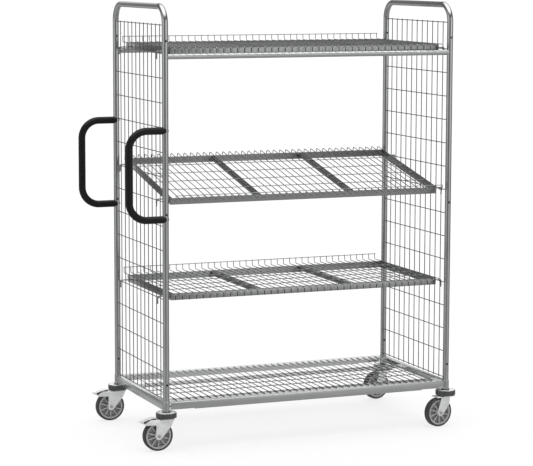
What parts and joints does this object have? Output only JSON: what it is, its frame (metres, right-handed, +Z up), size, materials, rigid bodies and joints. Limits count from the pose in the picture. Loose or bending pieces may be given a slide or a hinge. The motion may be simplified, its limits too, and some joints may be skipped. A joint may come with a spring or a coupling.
{
  "type": "order picking trolley",
  "caption": "Wheeled tubular steel shelf trolley with mesh ends, hook-in wire shelves, grip handles and swivel casters with brakes, for carrying picked goods.",
  "frame": {"origin": "on the floor, in the middle of the trolley's outline", "axes": "+X along the length, away from the handles; +Y to the back; +Z up"},
  "size_m": [1.489, 0.716, 1.82],
  "materials": {
    "zinc_steel": "bright zinc plate",
    "screw_steel": "plated, semi-gloss",
    "black_grip": "fine-grained, matt",
    "grey_plastic": "moulded, satin",
    "grey_rubber": "smooth, satin",
    "pedal_zinc": "pressed and zinc plated"
  },
  "bodies": {
    "frame": {"front_rail": "zinc_steel", "rear_rail": "zinc_steel", "left_end_rail": "zinc_steel", "right_end_rail": "zinc_steel", "deck_bar": "zinc_steel", "deck_wires": "zinc_steel", "corner_sockets": "zinc_steel", "left_end_tube": "zinc_steel", "right_end_tube": "zinc_steel", "left_end_mesh": "zinc_steel", "right_end_mesh": "zinc_steel", "front_top_tube": "zinc_steel", "rear_top_tube": "zinc_steel", "socket_screws": "screw_steel", "front_handle": "black_grip", "rear_handle": "black_grip", "handle_screws": "screw_steel", "left_front_stem": "screw_steel", "left_front_bumper": "grey_plastic", "left_front_race": "zinc_steel", "left_rear_stem": "screw_steel", "left_rear_bumper": "grey_plastic", "left_rear_race": "zinc_steel", "right_front_stem": "screw_steel", "right_front_bumper": "grey_plastic", "right_front_race": "zinc_steel", "right_rear_stem": "screw_steel", "right_rear_bumper": "grey_plastic", "right_rear_race": "zinc_steel"},
    "top_shelf": {"top_shelf_frame": "zinc_steel", "top_shelf_wires": "zinc_steel", "top_shelf_lip": "zinc_steel", "top_shelf_hooks": "zinc_steel"},
    "tilted_shelf": {"tilted_shelf_frame": "zinc_steel", "tilted_shelf_wires": "zinc_steel", "tilted_shelf_lip": "zinc_steel", "tilted_shelf_hooks": "zinc_steel"},
    "low_shelf": {"low_shelf_frame": "zinc_steel", "low_shelf_wires": "zinc_steel", "low_shelf_lip": "zinc_steel", "low_shelf_hooks": "zinc_steel"},
    "left_front_caster": {"left_front_fork": "zinc_steel", "left_front_axle": "screw_steel"},
    "left_front_wheel": {"left_front_rim": "grey_plastic", "left_front_tyre": "grey_rubber"},
    "left_front_brake": {"left_front_brake_pedal": "pedal_zinc"},
    "left_rear_caster": {"left_rear_fork": "zinc_steel", "left_rear_axle": "screw_steel"},
    "left_rear_wheel": {"left_rear_rim": "grey_plastic", "left_rear_tyre": "grey_rubber"},
    "left_rear_brake": {"left_rear_brake_pedal": "pedal_zinc"},
    "right_front_caster": {"right_front_fork": "zinc_steel", "right_front_axle": "screw_steel"},
    "right_front_wheel": {"right_front_rim": "grey_plastic", "right_front_tyre": "grey_rubber"},
    "right_rear_caster": {"right_rear_fork": "zinc_steel", "right_rear_axle": "screw_steel"},
    "right_rear_wheel": {"right_rear_rim": "grey_plastic", "right_rear_tyre": "grey_rubber"}
  },
  "joints": [
    {"name": "top_shelf_lift", "type": "slide", "parent": "frame", "child": "top_shelf", "axis": [0, 0, 1], "range_m": [0, 0.04]},
    {"name": "tilted_shelf_lift", "type": "slide", "parent": "frame", "child": "tilted_shelf", "axis": [0, 0, 1], "range_m": [0, 0.04]},
    {"name": "low_shelf_lift", "type": "slide", "parent": "frame", "child": "low_shelf", "axis": [0, 0, 1], "range_m": [0, 0.04]},
    {"name": "left_front_swivel", "type": "hinge", "parent": "frame", "child": "left_front_caster", "pos_m": [-0.5745, -0.315, 0.13], "axis": [0, 0, 1], "continuous": true},
    {"name": "left_front_roll", "type": "hinge", "parent": "left_front_caster", "child": "left_front_wheel", "pos_m": [-0.6125, -0.315, 0.0625], "axis": [0, 1, 0], "continuous": true},
    {"name": "left_front_brake_press", "type": "hinge", "parent": "left_front_caster", "child": "left_front_brake", "pos_m": [-0.6405, -0.315, 0.129], "axis": [0, -1, 0], "range_deg": [0, 12]},
    {"name": "left_rear_swivel", "type": "hinge", "parent": "frame", "child": "left_rear_caster", "pos_m": [-0.5745, 0.315, 0.13], "axis": [0, 0, 1], "continuous": true},
    {"name": "left_rear_roll", "type": "hinge", "parent": "left_rear_caster", "child": "left_rear_wheel", "pos_m": [-0.6125, 0.315, 0.0625], "axis": [0, 1, 0], "continuous": true},
    {"name": "left_rear_brake_press", "type": "hinge", "parent": "left_rear_caster", "child": "left_rear_brake", "pos_m": [-0.6405, 0.315, 0.129], "axis": [0, -1, 0], "range_deg": [0, 12]},
    {"name": "right_front_swivel", "type": "hinge", "parent": "frame", "child": "right_front_caster", "pos_m": [0.7015, -0.315, 0.13], "axis": [0, 0, 1], "continuous": true},
    {"name": "right_front_roll", "type": "hinge", "parent": "right_front_caster", "child": "right_front_wheel", "pos_m": [0.66387, -0.32029, 0.0625], "axis": [-0.1392, 0.9903, 0], "continuous": true},
    {"name": "right_rear_swivel", "type": "hinge", "parent": "frame", "child": "right_rear_caster", "pos_m": [0.7015, 0.315, 0.13], "axis": [0, 0, 1], "continuous": true},
    {"name": "right_rear_roll", "type": "hinge", "parent": "right_rear_caster", "child": "right_rear_wheel", "pos_m": [0.66387, 0.30971, 0.0625], "axis": [-0.1392, 0.9903, 0], "continuous": true}
  ]
}
